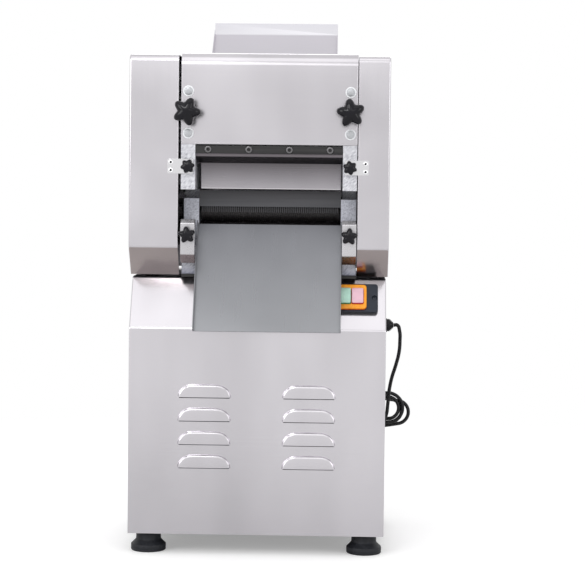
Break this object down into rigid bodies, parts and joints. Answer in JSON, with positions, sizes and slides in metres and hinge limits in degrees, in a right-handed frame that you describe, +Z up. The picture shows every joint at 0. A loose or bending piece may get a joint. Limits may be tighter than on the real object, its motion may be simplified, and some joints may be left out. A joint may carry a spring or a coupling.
{
  "type": "electric pasta maker",
  "caption": "Floor-standing stainless noodle machine: sheeting rollers behind a front cover, a noodle cutter unit over a sloped chute, a louvred cabinet and a mains cord.",
  "frame": {"origin": "on the floor, at the centre of the machine's footprint box without its cord", "axes": "+Z up; +X to the right seen from the front; the front with the knobs and the noodle outlet faces -Y"},
  "size_m": [0.5162, 0.4754, 0.9538],
  "materials": {
    "brushed_stainless": "brushed stainless sheet",
    "milled_steel": "milled plate",
    "machined_steel": "turned and ground",
    "cutter_steel": "dark turned steel",
    "dark_steel": "dark grey, matte",
    "cast_iron": "as cast",
    "motor_paint": "satin paint",
    "belt_rubber": "matte",
    "foot_rubber": "matte",
    "cord_rubber": "satin",
    "black_plastic": "gloss",
    "switch_grey": "satin",
    "bezel_orange": "gloss",
    "button_green": "gloss",
    "button_red": "gloss"
  },
  "bodies": {
    "machine": {"cabinet_shell": "brushed_stainless", "cabinet_back_panel": "brushed_stainless", "base_frame": "dark_steel", "foot_front_left": "foot_rubber", "foot_front_right": "foot_rubber", "foot_rear_left": "foot_rubber", "foot_rear_right": "foot_rubber", "motor_body": "motor_paint", "drive_belt": "belt_rubber", "switch_plate": "switch_grey", "switch_bezel": "bezel_orange", "head_base_plate": "dark_steel", "side_frame_left": "milled_steel", "side_frame_right": "milled_steel", "adjuster_plate_left": "machined_steel", "adjuster_plate_right": "machined_steel", "front_cover": "brushed_stainless", "rear_cover": "brushed_stainless", "front_cross_bar": "dark_steel", "front_guide_plate": "brushed_stainless", "noodle_chute": "brushed_stainless", "feed_tray": "brushed_stainless", "dough_guide_left": "machined_steel", "dough_guide_right": "machined_steel", "cutter_block_left": "cast_iron", "cutter_block_right": "cast_iron", "upper_comb": "dark_steel", "lower_comb": "dark_steel", "keeper_cap_left": "brushed_stainless", "keeper_cap_right": "brushed_stainless", "cable_gland": "black_plastic", "cord_drop": "cord_rubber", "cord_hank": "cord_rubber", "hank_tie": "black_plastic", "mains_plug": "black_plastic"},
    "rear_roller_set": {"rear_roller": "machined_steel", "rear_roller_gear": "machined_steel", "bull_gear": "machined_steel"},
    "gap_carriage": {"bearing_block_left": "cast_iron", "bearing_block_right": "cast_iron"},
    "front_roller_set": {"front_roller": "machined_steel", "front_roller_gear": "machined_steel"},
    "countershaft": {"countershaft_pinion": "machined_steel", "large_pulley": "cast_iron"},
    "motor_rotor": {"motor_pulley": "cast_iron"},
    "idler": {"idler_gear": "machined_steel"},
    "lower_cutter_set": {"lower_cutter": "cutter_steel", "cutter_drive_gear": "machined_steel"},
    "upper_cutter_set": {"upper_cutter": "cutter_steel"},
    "gap_knob_left": {"gap_knob_left": "black_plastic"},
    "gap_knob_right": {"gap_knob_right": "black_plastic"},
    "cover_knob_left": {"cover_knob_left": "black_plastic"},
    "cover_knob_right": {"cover_knob_right": "black_plastic"},
    "keeper_knob_left": {"keeper_knob_left": "black_plastic"},
    "keeper_knob_right": {"keeper_knob_right": "black_plastic"},
    "start_button": {"start_button": "button_green"},
    "stop_button": {"stop_button": "button_red"},
    "left_cover": {"left_cover": "brushed_stainless"},
    "right_cover": {"right_cover": "brushed_stainless"}
  },
  "joints": [
    {"name": "rear_roller_spin", "type": "hinge", "parent": "machine", "child": "rear_roller_set", "pos_m": [0.017, 0.02705, 0.775], "axis": [1, 0, 0], "continuous": true},
    {"name": "gap_slide", "type": "slide", "parent": "machine", "child": "gap_carriage", "axis": [0, -1, 0], "range_m": [0, 0.005]},
    {"name": "front_roller_spin", "type": "hinge", "parent": "gap_carriage", "child": "front_roller_set", "pos_m": [0.017, -0.05845, 0.775], "axis": [1, 0, 0], "continuous": true},
    {"name": "gap_knob_left_turn", "type": "hinge", "parent": "gap_carriage", "child": "gap_knob_left", "pos_m": [-0.1245, -0.17, 0.775], "axis": [0, -1, 0], "range_deg": [0, 900]},
    {"name": "gap_knob_right_turn", "type": "hinge", "parent": "gap_carriage", "child": "gap_knob_right", "pos_m": [0.1585, -0.17, 0.775], "axis": [0, -1, 0], "range_deg": [0, 900]},
    {"name": "countershaft_spin", "type": "hinge", "parent": "machine", "child": "countershaft", "pos_m": [-0.18, 0.04205, 0.65947], "axis": [1, 0, 0], "continuous": true},
    {"name": "motor_spin", "type": "hinge", "parent": "machine", "child": "motor_rotor", "pos_m": [-0.18, 0.031, 0.1455], "axis": [1, 0, 0], "continuous": true},
    {"name": "idler_spin", "type": "hinge", "parent": "machine", "child": "idler", "pos_m": [0.185, 0.0126, 0.64329], "axis": [1, 0, 0], "continuous": true},
    {"name": "lower_cutter_spin", "type": "hinge", "parent": "machine", "child": "lower_cutter_set", "pos_m": [0.017, -0.06225, 0.562], "axis": [1, 0, 0], "continuous": true},
    {"name": "upper_cutter_spin", "type": "hinge", "parent": "machine", "child": "upper_cutter_set", "pos_m": [0.017, -0.06225, 0.602], "axis": [1, 0, 0], "continuous": true},
    {"name": "cover_knob_left_turn", "type": "hinge", "parent": "machine", "child": "cover_knob_left", "pos_m": [-0.1245, -0.165, 0.6805], "axis": [0, -1, 0], "range_deg": [0, 1080]},
    {"name": "cover_knob_right_turn", "type": "hinge", "parent": "machine", "child": "cover_knob_right", "pos_m": [0.1585, -0.165, 0.6805], "axis": [0, -1, 0], "range_deg": [0, 1080]},
    {"name": "keeper_knob_left_turn", "type": "hinge", "parent": "machine", "child": "keeper_knob_left", "pos_m": [-0.1245, -0.165, 0.561], "axis": [0, -1, 0], "range_deg": [0, 1440]},
    {"name": "keeper_knob_right_turn", "type": "hinge", "parent": "machine", "child": "keeper_knob_right", "pos_m": [0.1585, -0.165, 0.561], "axis": [0, -1, 0], "range_deg": [0, 1440]},
    {"name": "start_button_press", "type": "slide", "parent": "machine", "child": "start_button", "axis": [0, 0.848, -0.53], "range_m": [0, 0.0035], "stiffness_N_per_m": 500, "springref_m": -0.002},
    {"name": "stop_button_press", "type": "slide", "parent": "machine", "child": "stop_button", "axis": [0, 0.848, -0.53], "range_m": [0, 0.0035], "stiffness_N_per_m": 500, "springref_m": -0.002},
    {"name": "left_cover_slide", "type": "slide", "parent": "machine", "child": "left_cover", "axis": [-1, 0, 0], "range_m": [0, 0.12]},
    {"name": "right_cover_slide", "type": "slide", "parent": "machine", "child": "right_cover", "axis": [1, 0, 0], "range_m": [0, 0.12]}
  ],
  "couplings": [
    {"joint": "front_roller_spin", "follows": "rear_roller_spin", "ratio": -1},
    {"joint": "countershaft_spin", "follows": "rear_roller_spin", "ratio": -3.1429},
    {"joint": "motor_spin", "follows": "rear_roller_spin", "ratio": -10},
    {"joint": "idler_spin", "follows": "rear_roller_spin", "ratio": -0.46667},
    {"joint": "lower_cutter_spin", "follows": "rear_roller_spin", "ratio": 2.1},
    {"joint": "upper_cutter_spin", "follows": "rear_roller_spin", "ratio": -2.1},
    {"joint": "gap_knob_left_turn", "follows": "gap_slide", "rad_per_m": 3141.6},
    {"joint": "gap_knob_right_turn", "follows": "gap_slide", "rad_per_m": 3141.6}
  ]
}
